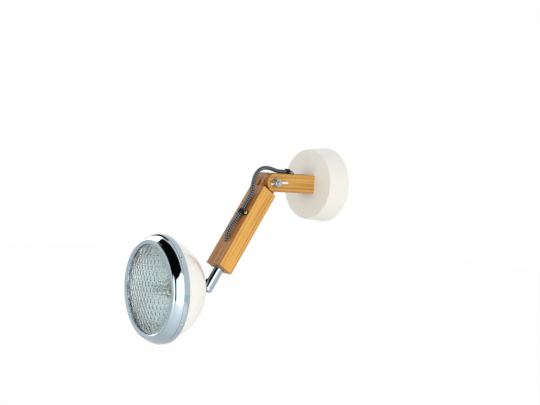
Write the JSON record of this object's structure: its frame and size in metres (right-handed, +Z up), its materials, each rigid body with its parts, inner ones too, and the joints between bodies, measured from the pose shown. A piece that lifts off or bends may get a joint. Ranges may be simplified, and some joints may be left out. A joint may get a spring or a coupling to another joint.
{
  "type": "wall lamp",
  "caption": "Adjustable wall lamp: round wall cover, hinged wooden arms clamped by a wing nut, swivelling chrome neck and a tilting headlamp-style head.",
  "frame": {"origin": "centre of the wall cover's back, on the wall", "axes": "+Y into the wall, +Z up, +X to the right for someone who faces the wall"},
  "size_m": [0.1435, 0.29, 0.2701],
  "materials": {
    "cream_enamel": "satin cream stove enamel",
    "zinc_steel": "zinc-plated steel",
    "terminal_plastic": "pale moulded plastic",
    "brass": "bright brass",
    "core_insulation": "smooth wire insulation",
    "black_rubber": "matt black rubber",
    "oiled_wood": "oiled golden-brown wood, straight grain",
    "black_clip": "black painted steel strip",
    "braided_cable": "black and grey braided cotton over rubber",
    "chrome_plate": "bright chrome plate",
    "lens_glass": "clear pressed glass with a faint green cast",
    "bulb_glass": "frosted glass",
    "bright_reflector": "polished aluminium",
    "holder_ceramic": "unglazed ceramic"
  },
  "bodies": {
    "wall_mount": {"wall_cover": "cream_enamel", "mounting_strap": "zinc_steel", "cover_screws": "zinc_steel", "terminal_block": "terminal_plastic", "terminal_screws": "brass", "block_screw": "zinc_steel", "terminal_leads": "core_insulation", "cable_grommet": "black_rubber", "short_arm": "oiled_wood", "short_arm_screws": "zinc_steel", "hinge_bolt": "zinc_steel", "hinge_washer": "zinc_steel", "upper_clip": "black_clip", "upper_clip_screws": "brass", "cable_inlet": "braided_cable", "cable_loop": "braided_cable"},
    "wing_nut": {"wing_nut": "zinc_steel"},
    "arm": {"long_arm": "oiled_wood", "lower_clip": "black_clip", "lower_clip_screws": "brass", "cable_outlet": "braided_cable", "neck_insert": "brass", "neck_screw": "zinc_steel"},
    "neck": {"neck_tube": "chrome_plate", "tilt_pin": "chrome_plate", "tilt_washers": "zinc_steel"},
    "head": {"head_lug": "chrome_plate", "lug_washer": "zinc_steel", "lug_nut": "zinc_steel", "head_bowl": "cream_enamel", "rim": "chrome_plate", "rim_screws": "chrome_plate", "lens": "lens_glass", "lens_gasket": "black_rubber", "reflector": "bright_reflector", "retaining_clips": "zinc_steel", "lamp_holder": "holder_ceramic", "holder_screws": "zinc_steel", "bulb_base": "brass", "bulb_glass": "bulb_glass", "lamp_leads": "core_insulation"}
  },
  "joints": [
    {"name": "arm_hinge", "type": "hinge", "parent": "wall_mount", "child": "arm", "pos_m": [0, -0.102, 0], "axis": [-1, 0, 0], "range_deg": [-32, 90], "deforming": ["cable_loop"]},
    {"name": "wing_nut_turn", "type": "hinge", "parent": "wall_mount", "child": "wing_nut", "pos_m": [0, -0.102, 0], "axis": [1, 0, 0], "range_deg": [0, 360]},
    {"name": "neck_swivel", "type": "hinge", "parent": "arm", "child": "neck", "pos_m": [0, -0.19209, -0.14417], "axis": [0, -0.5299, -0.848], "range_deg": [-97, 82]},
    {"name": "head_tilt", "type": "hinge", "parent": "neck", "child": "head", "pos_m": [0, -0.19209, -0.14417], "axis": [-0.991, 0.1136, -0.071], "range_deg": [-50, 30]}
  ]
}
